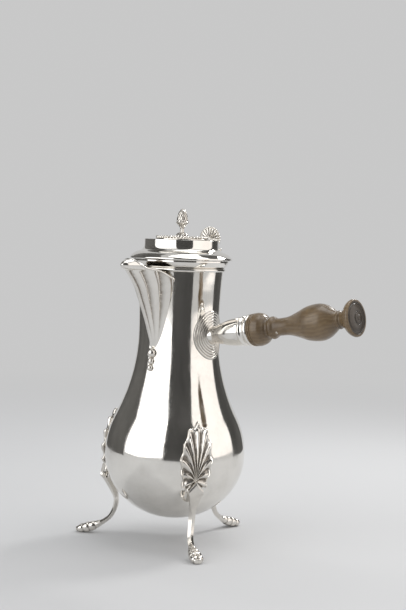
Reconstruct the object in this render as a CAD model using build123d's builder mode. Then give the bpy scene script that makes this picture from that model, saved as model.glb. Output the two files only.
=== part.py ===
from build123d import *

import os
from math import asin, cos, degrees, radians, sin, sqrt

# A tripod chocolate pot in silver with a turned wooden side handle, in millimetres.
# Frame: origin on the table under the pot's axis, +Z up, handle towards +X,
# spout towards -Y, lid hinge towards +Y.

# ---------------------------------------------------------------- driving dimensions
# body
wall = 1.0  # thickness of the raised sheet
base_height = 17.8  # underside of the bowl above the table
belly_rise = 48.2  # from the underside up to the widest point
belly_radius = 52.6
upper_belly_arc = 64.5  # radius of the curve just above the widest point
neck_rise = 92.0  # from the widest point up to the slimmest point of the neck
neck_radius = 30.1
mouth_rise = 54.0  # from the slimmest point up to the mouth
mouth_flare = 2.5  # how much wider the mouth is than the neck

# mouth moulding
moulding_height = 8.2
moulding_reach = 3.2  # how far its upper edge stands out from the body
bead_radius = 1.3  # the bead at the moulding's foot

# spout
spout_wall = 1.0
lip_drop = 6.0  # how far the lip lies below the mouth
spout_length = 59.0  # from the lip down to the point
spout_reach = 69.2  # from the pot's axis out to the tip
spout_spread = 33.0  # half the angle that the spout takes on the neck, in degrees
spout_swell = 1.2  # how far the sides bulge
lip_dip = 7.2  # how far the lip falls where it meets the neck
nose_rise = 6.6  # how far the nose stands above the lip
opening_rise = 8.0  # from the spout's point up to the hole in the wall behind it
drop_radii = (3.5, 2.7, 2.4)  # the pendant's three beads
drop_overlap = 0.93  # share of a bead's radius that shows above the next bead

# legs
leg_azimuths = {"front": -36.0, "rear": 84.0, "left": 204.0}
foot_reach = 74.6  # from the axis to a toe
palmette_thickness = 1.6
palmette_height = 52.0
palmette_width = 25.0
palmette_base = 45.0  # its lower edge above the table
palmette_lobe_arc = 7.5

# handle
handle_height = 152.2  # where the handle's axis crosses the pot's axis
handle_tilt = 9.8  # degrees above level
grip_length = 87.2  # from the flange's face to the end button's face
escutcheon_half_height = 18.2
escutcheon_half_width = 15.8
escutcheon_steps = 5
escutcheon_thickness = 2.6
socket_bore_radius = 6.7  # at the inner end of its hollow
socket_length = 69.2  # along the handle's axis, from the pot's axis to the flange's face
flange_radius = 12.0
tang_radius = 2.4
tang_start = 2.6  # from the plate on the neck to the tang's end
tang_reach = 35.0  # from the flange's face into the wood
tenon_radius = 8.0
tenon_length = 12.0
pin_radius = 1.15
pin_length = 12.6
pin_turn = 40.0  # the pin's visible end points this far below level, in degrees

# lid
lid_gap = 0.2  # running gap between the mouth and the lid's seat
lid_wall = 0.9
lid_overhang = 2.4  # how far the lid's rim stands out past the moulding
lid_rim_height = 1.3
drum_inset = 10.4  # from the lid's rim in to the drum
drum_height = 4.6  # the straight side of the drum
lid_height = 14.7  # from the seat to the flat top
cove_radius = 4.2  # between the shoulder and the drum
bezel_depth = 5.4  # how far the bezel drops into the mouth
bezel_clearance = 0.9
bezel_wall = 0.8
stirrer_hole_radius = 7.0
shoulder_arc_radius = 14.0
drum_edge_radius = 0.6

# stirrer cover and finial
cover_gap = 0.15
cover_thickness = 0.9
bead_ring_radius = 18.2
bead_size = 1.25
rivet_radius = 0.9
rivet_clearance = 0.05
rivet_tail = 0.8
washer_thickness = 0.5
cover_pivot_azimuth = 180.0
finial_height = 22.05
finial_tenon_radius = 1.5
rosette_radius = 4.6
rosette_lobes = 8
rosette_height = 1.6

# hinge
knuckle_stand = 0.4  # between the lid's rim and the knuckles
hinge_rise = 0.2  # the pin's axis above the lid's seat
knuckle_radius = 2.0
knuckle_count = 5
hinge_width = 20.0
hinge_pin_radius = 0.8
hinge_clearance = 0.05  # radial, between the pin and the lid's knuckles
knuckle_gap = 0.2
leaf_clearance = 0.3
thumb_width = 19.2
thumb_height = 18.6
thumb_thickness = 1.6
thumb_lobes = 11

# ---------------------------------------------------------------- worked out from them
belly_height = base_height + belly_rise
neck_height = belly_height + neck_rise
mouth_height = neck_height + mouth_rise
mouth_radius = neck_radius + mouth_flare
moulding_edge = mouth_radius + moulding_reach

# arcs of the upper belly and the shoulder meet in one tangent point
belly_step = belly_radius - neck_radius
arc_sum = (belly_step**2 + neck_rise**2) / (2 * belly_step)
shoulder_arc = arc_sum - upper_belly_arc
blend_angle = degrees(asin(neck_rise / arc_sum))
flare_arc = (mouth_rise**2 + mouth_flare**2) / (2 * mouth_flare)

lid_seat = mouth_height + lid_gap
lid_rim_radius = moulding_edge + lid_overhang
drum_radius = lid_rim_radius - drum_inset
lid_top = lid_seat + lid_height
cover_base = lid_top + cover_gap
cover_top = cover_base + cover_thickness

tilt = radians(handle_tilt)
handle_origin = Vector(0, 0, handle_height)
handle_dir = Vector(cos(tilt), 0, sin(tilt))
handle_up = Vector(-sin(tilt), 0, cos(tilt))
handle_axis = Axis(handle_origin, handle_dir)
# local x runs along the handle, local y is its radius
handle_side = Plane(origin=handle_origin, x_dir=handle_dir, z_dir=(0, -1, 0))


def skin_radius(height):
    """Radius of the pot's outer skin at a height on the belly, shoulder or neck."""
    if height < belly_height:
        return belly_radius * sqrt(1 - ((belly_height - height) / belly_rise) ** 2)
    if height < belly_height + upper_belly_arc * sin(radians(blend_angle)):
        return belly_radius - upper_belly_arc + sqrt(upper_belly_arc**2 - (height - belly_height) ** 2)
    if height < neck_height:
        return neck_radius + shoulder_arc - sqrt(shoulder_arc**2 - (neck_height - height) ** 2)
    return neck_radius + flare_arc - sqrt(flare_arc**2 - (height - neck_height) ** 2)


def skin_line(depth):
    """Draws the pot's profile, depth inside its outer skin, from the axis up to the mouth."""
    EllipticalCenterArc(
        (0, belly_height), belly_radius - depth, belly_rise - depth, start_angle=270, arc_size=90
    )
    CenterArc((belly_radius - upper_belly_arc, belly_height), upper_belly_arc - depth, 0, blend_angle)
    CenterArc(
        (neck_radius + shoulder_arc, neck_height), shoulder_arc + depth, 180 + blend_angle, -blend_angle
    )
    flare_angle = degrees(asin(mouth_rise / (flare_arc + depth)))
    return CenterArc((neck_radius + flare_arc, neck_height), flare_arc + depth, 180, -flare_angle)


def pot_solid(depth):
    """The pot's volume, filled up to the mouth, depth inside its outer skin."""
    with BuildPart() as filled:
        with BuildSketch(Plane.XZ):
            with BuildLine():
                edge = skin_line(depth)
                Polyline(edge @ 1, (0, mouth_height), (0, base_height + depth))
            make_face()
        revolve(axis=Axis.Z)
    return filled.part


def skin_band(thickness, low, high):
    """A coat of even thickness on the pot's outer skin between two heights."""
    with BuildPart() as band:
        add(pot_solid(-thickness))
        add(pot_solid(0), mode=Mode.SUBTRACT)
        with BuildSketch(Plane.XY.offset(low)):
            Circle(2 * belly_radius)
        extrude(amount=high - low, mode=Mode.INTERSECT)
    return band.part


pot_core = pot_solid(0)

# ---------------------------------------------------------------- spout and body
lip_height = mouth_height - lip_drop
spout_foot = lip_height - spout_length


# the spout from its point up to its nose, as shares: of its length above the point, of its
# reach beyond the neck, and of its spread
spout_stations = (
    (0.013, 0.028, 0.27),
    (0.203, 0.130, 0.48),
    (0.424, 0.289, 0.68),
    (0.610, 0.442, 0.85),
    (0.763, 0.565, 0.933),
    (0.881, 0.729, 0.98),
    (0.966, 0.852, 1.0),
    (0.990, 0.940, 1.0),
    (1.025, 0.990, 1.0),
    (1.050, 0.985, 1.0),
    (1.083, 0.925, 1.0),
    (1.119, 0.800, 1.0),
)

# the lip's edge from the neck to the tip: share of the reach beyond the neck, height above
# the lip's level
lip_foot = lip_height - lip_dip
lip_stations = (
    (-0.028, -lip_dip),
    (0.125, -0.7 * lip_dip),
    (0.304, -0.14 * lip_dip),
    (0.483, 0.0),
    (0.662, 0.36 * nose_rise),
    (0.790, 0.86 * nose_rise),
    (0.880, nose_rise),
    (1.060, nose_rise),
)


def spout_out(share):
    """Reach from the pot's axis at a share of the spout's reach beyond the neck."""
    return neck_radius + share * (spout_reach - neck_radius)


def spout_solid(inset):
    """The spout filled from its point to above its nose, inset inside its outer face."""
    with BuildPart() as filled:
        for rise, reach, spread in spout_stations:
            height = spout_foot + rise * spout_length
            hold = skin_radius(min(height, mouth_height)) - wall / 2
            half = radians(spread * spout_spread)
            root = Vector(hold * sin(half) - inset, inset - hold * cos(half))
            keel = Vector(0, 1.4 * inset - spout_out(reach))
            swell = (root + keel) * 0.5 + Vector(spout_swell * rise, 0)
            with BuildSketch(Plane.XY.offset(height)):
                with BuildLine():
                    edge = Spline(root, swell, keel, Vector(-swell.X, swell.Y), Vector(-root.X, root.Y))
                    Line(edge @ 1, edge @ 0)
                make_face()
        loft(ruled=True)
    return filled.part


spout_outer = spout_solid(0)
spout_inner = spout_solid(spout_wall)

with BuildPart() as spout_opening:
    add(spout_inner)
    split(bisect_by=Plane.XY.offset(lip_foot - spout_wall), keep=Keep.BOTTOM)
    split(bisect_by=Plane.XY.offset(spout_foot + opening_rise), keep=Keep.TOP)

with BuildPart() as body:
    with BuildSketch(Plane.XZ):
        with BuildLine():
            outer = skin_line(0)
            inner = skin_line(wall)
            Line(outer @ 1, inner @ 1)
            Line((0, base_height), (0, base_height + wall))
        make_face()
    revolve(axis=Axis.Z)
    add(spout_opening.part, mode=Mode.SUBTRACT)
body.part.label = "body"

with BuildPart() as spout:
    add(spout_outer)
    add(spout_inner, mode=Mode.SUBTRACT)
    add(pot_core, mode=Mode.SUBTRACT)
    with BuildSketch(Plane.YZ):
        with BuildLine():
            sweep = Spline(*[(-spout_out(reach), lip_height + rise) for reach, rise in lip_stations])
            above = 2 * lip_height
            Polyline(sweep @ 1, (-2 * spout_reach, above), (0, above), (0, lip_foot), sweep @ 0)
        make_face()
    extrude(amount=2 * spout_reach, both=True, mode=Mode.SUBTRACT)
spout.part.label = "spout"


def make_drop(radius, height):
    """One round drop, seated on the neck below the spout's point."""
    seat = -skin_radius(height) - 0.2 * radius
    with BuildPart() as drop:
        with BuildSketch(Plane(origin=(0, seat, height), x_dir=(0, -1, 0), z_dir=(1, 0, 0))):
            with BuildLine():
                CenterArc((0, 0), radius, 0, 180)
                Line((-radius, 0), (radius, 0))
            make_face()
        revolve(axis=Axis((0, seat, height), (0, -1, 0)))
        add(pot_core, mode=Mode.SUBTRACT)
    return drop.part


with BuildPart() as spout_drop:
    drop_height = spout_foot
    for drop_radius in drop_radii:
        drop_height -= drop_radius
        add(make_drop(drop_radius, drop_height))
        drop_height -= drop_overlap * drop_radius
    add(spout_outer, mode=Mode.SUBTRACT)
spout_drop.part.label = "spout_drop"

# ---------------------------------------------------------------- mouth moulding
moulding_base = mouth_height - moulding_height


def moulding_line():
    """Draws the moulding's outer side from its foot up to its upper edge."""
    foot = skin_radius(moulding_base)
    low = Line((foot, moulding_base), (foot + 0.4, moulding_base))
    bead_top = moulding_base + 2 * bead_radius
    bead = ThreePointArc(
        low @ 1, (foot + 0.4 + bead_radius, moulding_base + bead_radius), (foot + 0.4, bead_top)
    )
    cove = RadiusArc(bead @ 1, (moulding_edge, mouth_height - 1.2), -1.3 * moulding_height)
    return low, Line(cove @ 1, (moulding_edge, mouth_height))


with BuildPart() as mouth_moulding:
    with BuildSketch(Plane.XZ):
        with BuildLine():
            low, brim = moulding_line()
            Polyline(brim @ 1, (neck_radius - 1, mouth_height), (neck_radius - 1, moulding_base), low @ 0)
        make_face()
    revolve(axis=Axis.Z)
    add(pot_core, mode=Mode.SUBTRACT)
mouth_moulding.part.label = "mouth_moulding"


# ---------------------------------------------------------------- legs and palmettes
def facing_plane(azimuth):
    """Upright plane through the axis that faces outwards: local x across, local y up."""
    turn = radians(azimuth)
    out = Vector(cos(turn), sin(turn), 0)
    return Plane(origin=(0, 0, 0), x_dir=(-sin(turn), cos(turn), 0), z_dir=out)


# leg sections from knee to toe: share of the knee's height, how far it curves out past the
# straight line from knee to toe, width and thickness
knee_height = palmette_base + 6.0
knee_reach = skin_radius(knee_height) + 3.6
leg_sections = (
    (1.0, 0.0, 10.6, 5.0),
    (0.853, -5.8, 9.6, 4.6),
    (0.676, -14.2, 6.8, 3.8),
    (0.529, -19.0, 5.4, 3.2),
    (0.388, -20.7, 4.6, 3.0),
    (0.263, -19.7, 4.0, 2.9),
    (0.165, -15.9, 3.9, 3.1),
    (0.094, -11.0, 6.6, 4.8),
    (0.055, -5.8, 9.4, 6.2),
    (0.037, -1.4, 9.0, 5.2),
    (0.025, 1.1, 6.0, 3.4),
)


def leg_place(share, curve):
    """Reach and height of a leg's middle line at a share of the knee's height."""
    return knee_reach + (foot_reach - knee_reach) * (1 - share) + curve, share * knee_height


palmette_coat = pot_solid(-palmette_thickness)

# half of the shell's rim: share of the half width, share of the height
palmette_tips = ((0.51, 0.90), (0.85, 0.70), (1.0, 0.49), (0.86, 0.28), (0.69, 0.10))


def make_leg(azimuth):
    """A cabriole leg that curves in under the bowl and out to a hoof with a flat sole."""
    turn = radians(azimuth)
    out = Vector(cos(turn), sin(turn), 0)
    across = Vector(-sin(turn), cos(turn), 0)
    line = [leg_place(share, curve) for share, curve, _, _ in leg_sections]
    with BuildPart() as leg:
        for place, (_, _, width, thick) in enumerate(leg_sections):
            before, after = line[max(place - 1, 0)], line[min(place + 1, len(line) - 1)]
            along = (out * (after[0] - before[0]) + Vector(0, 0, after[1] - before[1])).normalized()
            centre = out * line[place][0] + Vector(0, 0, line[place][1])
            with BuildSketch(Plane(origin=centre, x_dir=across, z_dir=along)):
                Ellipse(width / 2, thick / 2)
        loft()
        add(palmette_coat, mode=Mode.SUBTRACT)
        with BuildSketch(Plane.XY):
            Circle(2 * foot_reach)
        extrude(amount=-base_height, mode=Mode.SUBTRACT)
    return leg.part


def make_palmette(azimuth):
    """A scallop-edged shell plate on the belly."""
    half = palmette_width / 2
    with BuildPart() as plate:
        add(skin_band(palmette_thickness, palmette_base - 1, palmette_base + palmette_height + 1))
        with BuildSketch(facing_plane(azimuth)):
            with BuildLine():
                top = (0, palmette_base + palmette_height)
                rim = [top]
                for wide, high in palmette_tips:
                    rim.append((wide * half, palmette_base + high * palmette_height))
                rim.append((0.3 * half, palmette_base))
                for start, end in zip(rim, rim[1:]):
                    RadiusArc(start, end, palmette_lobe_arc)
                    RadiusArc((-start[0], start[1]), (-end[0], end[1]), -palmette_lobe_arc)
                Line(rim[-1], (-rim[-1][0], rim[-1][1]))
            make_face()
        extrude(amount=2 * belly_radius, mode=Mode.INTERSECT)
    return plate.part


legs = {}
for name, azimuth in leg_azimuths.items():
    legs["leg_" + name] = make_leg(azimuth)
    legs["palmette_" + name] = make_palmette(azimuth)

# ---------------------------------------------------------------- handle
def neck_pad(share, thickness):
    """An oval pad of even thickness wrapped on the neck, at a share of the plate's size."""
    middle = handle_height + neck_radius * sin(tilt)
    margin = 1.6 * escutcheon_half_height * share
    with BuildPart() as pad:
        add(skin_band(thickness, middle - margin, middle + margin))
        with BuildSketch(Plane(origin=handle_origin, x_dir=(0, 1, 0), z_dir=handle_dir)):
            Ellipse(escutcheon_half_width * share, escutcheon_half_height * share)
        extrude(amount=3 * neck_radius, mode=Mode.INTERSECT)
        add(pot_core, mode=Mode.SUBTRACT)
    return pad.part


with BuildPart() as handle_escutcheon:
    for step in range(escutcheon_steps):
        share = step / escutcheon_steps
        add(neck_pad(1 - 0.62 * share, escutcheon_thickness * (0.4 + 0.75 * share)))
handle_escutcheon.part.label = "handle_escutcheon"

# socket outline: share of the way back from the flange's face to the neck, radius
flange_lip = 1.6
socket_outline = (
    (1.0, 6.9),
    (0.83, 6.4),
    (0.715, 7.6),
    (0.488, 9.8),
    (0.31, 10.5),
    (0.215, 10.4),
)
socket_root = neck_radius - 0.9  # the outline runs into the neck's wall, where the plate trims it
socket_bore_end = 0.6  # share of the way back to which the hollow runs
socket_radius = flange_radius - 1.5


def along_handle(back, radius):
    """A point of the handle's profile, back from the flange's face."""
    return (socket_length - back, radius)


def along_bell(share, radius):
    """A point of the bell's profile at a share of the way back to the neck."""
    return (socket_length - share * (socket_length - socket_root), radius)


# grip profile: share of the way from the flange's face to the end button's face, radius
grip_shoulder = ((0.0, 10.6), (0.016, 10.9), (0.062, 12.0), (0.11, 10.9), (0.14, 8.3))
grip_groove = (0.156, 6.2)
grip_ring = ((0.182, 7.0), (0.204, 8.0), (0.232, 6.9))
grip_bulb = (
    (0.259, 6.1),
    (0.355, 6.5),
    (0.452, 9.1),
    (0.545, 12.1),
    (0.637, 13.1),
    (0.699, 12.0),
    (0.751, 9.4),
    (0.799, 6.6),
    (0.828, 5.2),
)
grip_button = ((0.892, 7.8), (0.931, 11.8), (0.963, 13.0), (0.982, 12.3))
grip_face = ((0.978, 10.9), (0.971, 10.6), (0.974, 9.8), (0.983, 9.5))
grip_dome = ((0.992, 5.4), (0.998, 1.9))
grip_boss = ((1.005, 1.6), (1.005, 0))
pin_place = 0.256


def along_grip(share):
    """Distance from the pot's axis at a share of the grip's length."""
    return socket_length + share * grip_length


def grip_point(share, radius):
    """A point of the grip's profile."""
    return (along_grip(share), radius)


with BuildPart() as handle_socket:
    with BuildSketch(handle_side):
        with BuildLine():
            bell = Spline(*[along_bell(share, radius) for share, radius in socket_outline])
            ring = ThreePointArc(
                bell @ 1, along_handle(7.6, socket_radius + 0.6), along_handle(6.6, socket_radius)
            )
            cove = ThreePointArc(
                ring @ 1, along_handle(4.6, socket_radius - 1.0), along_handle(3.0, socket_radius + 0.4)
            )
            lip = ThreePointArc(
                cove @ 1, along_handle(flange_lip, flange_radius), along_handle(0, flange_radius - 0.4)
            )
            Polyline(
                lip @ 1,
                along_handle(0, tenon_radius),
                along_handle(tenon_length, tenon_radius),
                along_bell(socket_bore_end, socket_bore_radius),
                along_bell(socket_bore_end, tang_radius),
                along_bell(1.0, tang_radius),
                bell @ 0,
            )
        make_face()
    revolve(axis=handle_axis)
    add(pot_solid(-escutcheon_thickness), mode=Mode.SUBTRACT)
    add(handle_escutcheon.part, mode=Mode.SUBTRACT)
handle_socket.part.label = "handle_socket"

pin_station = along_grip(pin_place)
pin_angle = radians(pin_turn)
pin_dir = Vector(0, -1, 0) * cos(pin_angle) - handle_up * sin(pin_angle)
pin_plane = Plane(origin=handle_origin + handle_dir * pin_station, z_dir=pin_dir)

plate_face = (neck_radius + escutcheon_thickness) / cos(tilt)
tang_foot = handle_origin + handle_dir * (plate_face + tang_start)
tang_end = socket_length + tang_reach

with BuildPart() as handle_tang:
    with BuildSketch(Plane(origin=tang_foot, z_dir=handle_dir)):
        Circle(tang_radius)
    extrude(amount=tang_end - plate_face - tang_start)
    with BuildSketch(pin_plane):
        Circle(pin_radius)
    extrude(amount=pin_length, both=True, mode=Mode.SUBTRACT)
handle_tang.part.label = "handle_tang"

with BuildPart() as handle_grip:
    with BuildSketch(handle_side):
        with BuildLine():
            shoulder = Spline(*[grip_point(*pair) for pair in grip_shoulder])
            groove = ThreePointArc(shoulder @ 1, grip_point(*grip_groove), grip_point(*grip_ring[0]))
            ring = Spline(*[grip_point(*pair) for pair in grip_ring])
            bulb = Spline(ring @ 1, *[grip_point(*pair) for pair in grip_bulb])
            knob = Spline(bulb @ 1, *[grip_point(*pair) for pair in grip_button])
            face = Polyline(knob @ 1, *[grip_point(*pair) for pair in grip_face])
            dome = ThreePointArc(face @ 1, *[grip_point(*pair) for pair in grip_dome])
            Polyline(
                dome @ 1,
                *[grip_point(*pair) for pair in grip_boss],
                (tang_end, 0),
                (tang_end, tang_radius),
                (socket_length - tenon_length, tang_radius),
                (socket_length - tenon_length, tenon_radius),
                (socket_length, tenon_radius),
                shoulder @ 0,
            )
        make_face()
    revolve(axis=handle_axis)
    with BuildSketch(pin_plane):
        Circle(pin_radius)
    extrude(amount=pin_length, both=True, mode=Mode.SUBTRACT)
handle_grip.part.label = "handle_grip"

with BuildPart() as handle_pin:
    with BuildSketch(pin_plane):
        Circle(pin_radius)
    extrude(amount=pin_length / 2, both=True)
    chamfer(handle_pin.faces().filter_by(GeomType.PLANE).edges(), 0.3)
handle_pin.part.label = "handle_pin"

# ---------------------------------------------------------------- lid
rim_top = lid_seat + lid_rim_height
cove_height = lid_top - drum_height


def lid_line():
    """Draws the lid's outer profile from the rim's lower edge to the middle of the top."""
    edge = Line((lid_rim_radius, lid_seat), (lid_rim_radius, rim_top))
    cove_end = (drum_radius, cove_height)
    cove_start = (drum_radius + 0.72 * cove_radius, cove_height - 0.96 * cove_radius)
    shoulder = RadiusArc(edge @ 1, cove_start, -shoulder_arc_radius)
    cove = RadiusArc(shoulder @ 1, cove_end, cove_radius)
    drum = Polyline(cove @ 1, (drum_radius, lid_top), (0, lid_top))
    return edge, drum


with BuildPart() as lid_block:
    with BuildSketch(Plane.XZ):
        with BuildLine():
            edge, drum = lid_line()
            Polyline(drum @ 1, (0, lid_seat), edge @ 0)
        make_face()
    revolve(axis=Axis.Z)
    fillet(lid_block.edges().group_by(Axis.Z)[-1], drum_edge_radius)
lid_outer = lid_block.part

pivot_turn = radians(cover_pivot_azimuth)
pivot = Vector(bead_ring_radius * cos(pivot_turn), bead_ring_radius * sin(pivot_turn), 0)

with BuildPart() as lid:
    add(lid_outer)
    offset(amount=-lid_wall, openings=lid.faces().sort_by(Axis.Z)[0])
    with Locations((0, 0, lid_top)):
        Hole(stirrer_hole_radius, depth=2 * lid_wall)
    with Locations((pivot.X, pivot.Y, lid_top)):
        Hole(rivet_radius, depth=2 * lid_wall)
lid.part.label = "lid"

bezel_radius = skin_radius(mouth_height - bezel_depth) - wall - bezel_clearance
bezel_seat = lid_rim_radius - lid_wall
bezel_top = lid_seat + bezel_wall

with BuildPart() as lid_bezel:
    with BuildSketch(Plane.XZ):
        with BuildLine():
            Polyline(
                (bezel_radius - bezel_wall, mouth_height - bezel_depth),
                (bezel_radius, mouth_height - bezel_depth),
                (bezel_radius, lid_seat),
                (bezel_seat, lid_seat),
                (bezel_seat, bezel_top),
                (bezel_radius - bezel_wall, bezel_top),
                close=True,
            )
        make_face()
    revolve(axis=Axis.Z)
lid_bezel.part.label = "lid_bezel"

# ---------------------------------------------------------------- stirrer cover
bead_count = round(radians(180) * bead_ring_radius / bead_size)
border_inner = bead_ring_radius - bead_size
border_outer = bead_ring_radius + bead_size
strip_height = 0.9 * cover_thickness
bead_height = cover_base + bead_size + 0.15

with BuildPart() as cover_disc:
    with BuildSketch(Plane.XY.offset(cover_base)):
        Circle(border_inner)
        Circle(finial_tenon_radius, mode=Mode.SUBTRACT)
    extrude(amount=cover_thickness)
cover_disc.part.label = "cover_disc"

with BuildPart() as bead_border:
    with BuildSketch(Plane.XY.offset(cover_base)):
        Circle(border_outer)
        Circle(border_inner, mode=Mode.SUBTRACT)
    extrude(amount=strip_height)
    for bead in range(1, bead_count):
        turn = pivot_turn + radians(360) * bead / bead_count
        spot = (bead_ring_radius * cos(turn), bead_ring_radius * sin(turn), bead_height)
        with Locations(spot):
            Sphere(0.97 * bead_size)
    with BuildSketch(Plane.XY.offset(cover_base)):
        Circle(border_inner)
    extrude(amount=2 * bead_size + cover_thickness, mode=Mode.SUBTRACT)
    with Locations((pivot.X, pivot.Y, cover_base)):
        Cylinder(rivet_radius + rivet_clearance, 4 * strip_height, mode=Mode.SUBTRACT)
bead_border.part.label = "bead_border"

with BuildPart() as cover_rivet:
    head_base = cover_base + strip_height + cover_gap
    washer_base = lid_top - lid_wall - washer_thickness
    with BuildSketch(Plane.XY.offset(washer_base - rivet_tail)):
        with Locations((pivot.X, pivot.Y)):
            Circle(1.7 * rivet_radius)
    extrude(amount=rivet_tail)
    with BuildSketch(Plane.XY.offset(washer_base)):
        with Locations((pivot.X, pivot.Y)):
            Circle(rivet_radius)
    extrude(amount=head_base - washer_base)
    with BuildSketch(Plane.XY.offset(head_base)):
        with Locations((pivot.X, pivot.Y)):
            Circle(0.97 * bead_size)
    extrude(amount=bead_size)
    fillet(cover_rivet.edges().group_by(Axis.Z)[-1], 0.6 * bead_size)
cover_rivet.part.label = "cover_rivet"

with BuildPart() as cover_washer:
    with BuildSketch(Plane.XY.offset(washer_base)):
        with Locations((pivot.X, pivot.Y)):
            Circle(2.4 * rivet_radius)
            Circle(rivet_radius, mode=Mode.SUBTRACT)
    extrude(amount=washer_thickness)
cover_washer.part.label = "cover_washer"

# ---------------------------------------------------------------- finial
# stem with its calyx, then the bud: share of the height above the cover, radius
stem_outline = (
    (0.096, 2.6),
    (0.148, 2.0),
    (0.245, 1.8),
    (0.358, 2.6),
    (0.463, 4.6),
    (0.489, 5.2),
)
bud_outline = ((0.520, 4.5), (0.638, 4.5), (0.769, 3.9), (0.900, 2.3))


def finial_point(share, radius):
    """A point of the finial's profile."""
    return (radius, cover_top + share * finial_height)


with BuildPart() as finial:
    with BuildSketch(Plane.XZ):
        with BuildLine():
            stem = Spline(*[finial_point(*pair) for pair in stem_outline])
            calyx = Line(stem @ 1, finial_point(*bud_outline[0]))
            bud = Spline(
                calyx @ 1,
                *[finial_point(*pair) for pair in bud_outline[1:]],
                finial_point(1.0, 0),
                tangents=((0, 1), (-1, 0.2)),
            )
            Polyline(
                bud @ 1,
                (0, cover_base),
                (finial_tenon_radius, cover_base),
                (finial_tenon_radius, cover_top),
                (stem_outline[0][1], cover_top),
                stem @ 0,
            )
        make_face()
    revolve(axis=Axis.Z)
finial.part.label = "finial"

with BuildPart() as finial_rosette:
    with BuildSketch(Plane.XY.offset(cover_top)):
        with PolarLocations(0.62 * rosette_radius, rosette_lobes):
            Circle(0.38 * rosette_radius)
        Circle(0.72 * rosette_radius)
        Circle(stem_outline[0][1], mode=Mode.SUBTRACT)
    extrude(amount=rosette_height)
finial_rosette.part.label = "finial_rosette"

# ---------------------------------------------------------------- hinge
hinge_y = lid_rim_radius + knuckle_stand + knuckle_radius
hinge_z = lid_seat + hinge_rise
knuckle_pitch = hinge_width / knuckle_count
knuckle_length = knuckle_pitch - knuckle_gap
hinge_plane = Plane(origin=(0, hinge_y, hinge_z), x_dir=(0, 1, 0), z_dir=(1, 0, 0))


def knuckle_middle(place):
    """Where a knuckle stands along the pin."""
    return (place - (knuckle_count - 1) / 2) * knuckle_pitch


def hinge_leaf(web, places, others, bore):
    """A leaf: a web cleared round the other leaf's knuckles, with its own knuckles on it."""
    with BuildPart() as leaf:
        with BuildSketch(Plane.YZ):
            Polygon(*web, align=None)
        extrude(amount=hinge_width / 2, both=True)
        for place in others:
            with BuildSketch(hinge_plane.offset(knuckle_middle(place))):
                Circle(knuckle_radius + leaf_clearance)
            extrude(amount=knuckle_pitch / 2 + knuckle_gap / 2, both=True, mode=Mode.SUBTRACT)
        for place in places:
            with BuildSketch(hinge_plane.offset(knuckle_middle(place))):
                Circle(knuckle_radius)
            extrude(amount=knuckle_length / 2, both=True)
        with BuildSketch(hinge_plane):
            Circle(bore)
        extrude(amount=hinge_width, both=True, mode=Mode.SUBTRACT)
    return leaf.part


pot_knuckles = range(0, knuckle_count, 2)
lid_knuckles = range(1, knuckle_count, 2)
pot_web = (
    (mouth_radius, moulding_base + 1.0),
    (moulding_edge + 0.5, moulding_base + 1.0),
    (hinge_y + 1.6, hinge_z - 1.2),
    (hinge_y - 0.6, hinge_z - 0.6),
    (hinge_y - 0.6, lid_seat - leaf_clearance),
    (mouth_radius, lid_seat - leaf_clearance),
)
thumb_base = lid_seat + 6.3
lid_web = (
    (lid_rim_radius - 0.1, hinge_z + 0.3),
    (hinge_y + 1.7, hinge_z + 0.6),
    (hinge_y + 1.2, hinge_z + 3.0),
    (lid_rim_radius - 0.8, thumb_base),
    (lid_rim_radius - 4.4, thumb_base),
    (lid_rim_radius - 4.4, rim_top),
)

with BuildPart() as mouth_envelope:
    with BuildSketch(Plane.XZ):
        with BuildLine():
            low, brim = moulding_line()
            Polyline(brim @ 1, (0, mouth_height), (0, moulding_base), low @ 0)
        make_face()
    revolve(axis=Axis.Z)

with BuildPart() as pot_hinge_leaf:
    add(hinge_leaf(pot_web, pot_knuckles, lid_knuckles, hinge_pin_radius))
    add(mouth_envelope.part, mode=Mode.SUBTRACT)
pot_hinge_leaf.part.label = "pot_hinge_leaf"

with BuildPart() as lid_hinge_leaf:
    add(hinge_leaf(lid_web, lid_knuckles, pot_knuckles, hinge_pin_radius + hinge_clearance))
    add(lid_outer, mode=Mode.SUBTRACT)
lid_hinge_leaf.part.label = "lid_hinge_leaf"

with BuildPart() as hinge_pin:
    with BuildSketch(hinge_plane):
        Circle(hinge_pin_radius)
    extrude(amount=hinge_width / 2 + 0.4, both=True)
    fillet(hinge_pin.faces().filter_by(GeomType.PLANE).edges(), 0.35)
hinge_pin.part.label = "hinge_pin"

with BuildPart() as thumbpiece:
    fan_radius = thumb_width / 2
    fan_centre = thumb_base + thumb_height - fan_radius
    with BuildSketch(Plane.XZ.offset(-(lid_rim_radius - 3.4))):
        with BuildLine():
            rim = []
            for lobe in range(thumb_lobes + 1):
                turn = radians(200 * lobe / thumb_lobes - 10)
                rim.append((0.93 * fan_radius * cos(turn), fan_centre + 0.93 * fan_radius * sin(turn)))
            for start, end in zip(rim, rim[1:]):
                RadiusArc(start, end, -0.22 * fan_radius)
            foot = 1.1 * fan_radius
            Polyline(
                rim[-1],
                (-0.84 * fan_radius, thumb_base + 3.2),
                (-foot, thumb_base + 1.6),
                (-foot, thumb_base),
                (foot, thumb_base),
                (foot, thumb_base + 1.6),
                (0.84 * fan_radius, thumb_base + 3.2),
                rim[0],
            )
        make_face()
    extrude(amount=-thumb_thickness)
thumbpiece.part.label = "thumbpiece"

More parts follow.
